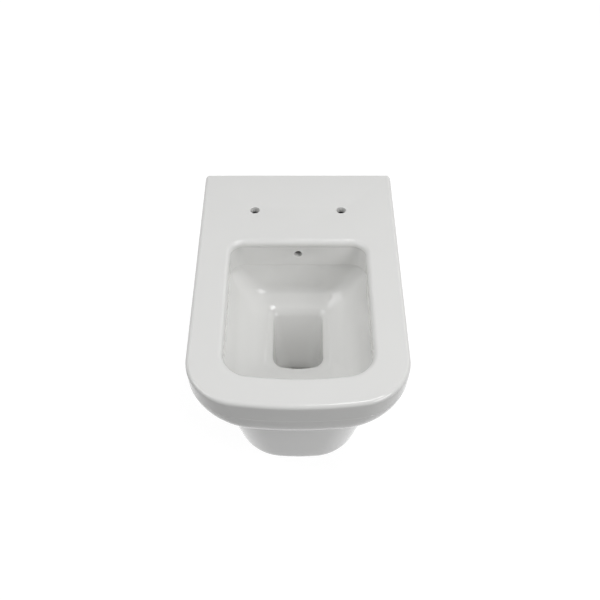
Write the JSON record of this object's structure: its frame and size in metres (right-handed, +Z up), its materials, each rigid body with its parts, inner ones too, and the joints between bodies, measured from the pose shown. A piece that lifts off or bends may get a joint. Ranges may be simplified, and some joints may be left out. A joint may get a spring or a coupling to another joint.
{
  "type": "wall hung toilet pan",
  "caption": "Wall hung toilet pan with a squared rim and rounded front, open bowl with sump and trap, concealed wall fixings, flush inlet pipe and waste connector.",
  "frame": {"origin": "midpoint of the two wall fixing studs, on the finished wall surface", "axes": "+X to the right seen from the front, +Y into the wall, +Z up; the pan reaches towards -Y"},
  "size_m": [0.346, 0.598, 0.332],
  "materials": {
    "glazed_china": "gloss white glaze",
    "zinc_steel": "zinc plated",
    "white_plastic": "satin moulded",
    "black_rubber": "matte",
    "black_pipe": "extruded polyethylene",
    "foam": "closed cell foam"
  },
  "bodies": {
    "root": {"rim_deck": "glazed_china", "bowl": "glazed_china", "rear_wall": "glazed_china", "belly": "glazed_china", "lower_body": "glazed_china", "foot": "glazed_china", "trap_inlet": "glazed_china", "trap_bend": "glazed_china", "trap_weir": "glazed_china", "waste_spigot": "glazed_china", "inlet_horn": "glazed_china", "wall_studs": "zinc_steel", "stud_washers": "zinc_steel", "stud_nuts": "zinc_steel", "fixing_brackets": "zinc_steel", "lock_screws": "zinc_steel", "screw_bushes": "white_plastic", "cover_caps": "white_plastic", "inlet_seal": "black_rubber", "flush_pipe": "black_pipe", "outlet_seal": "black_rubber", "waste_connector": "black_pipe", "wall_gasket": "foam"}
  },
  "joints": []
}
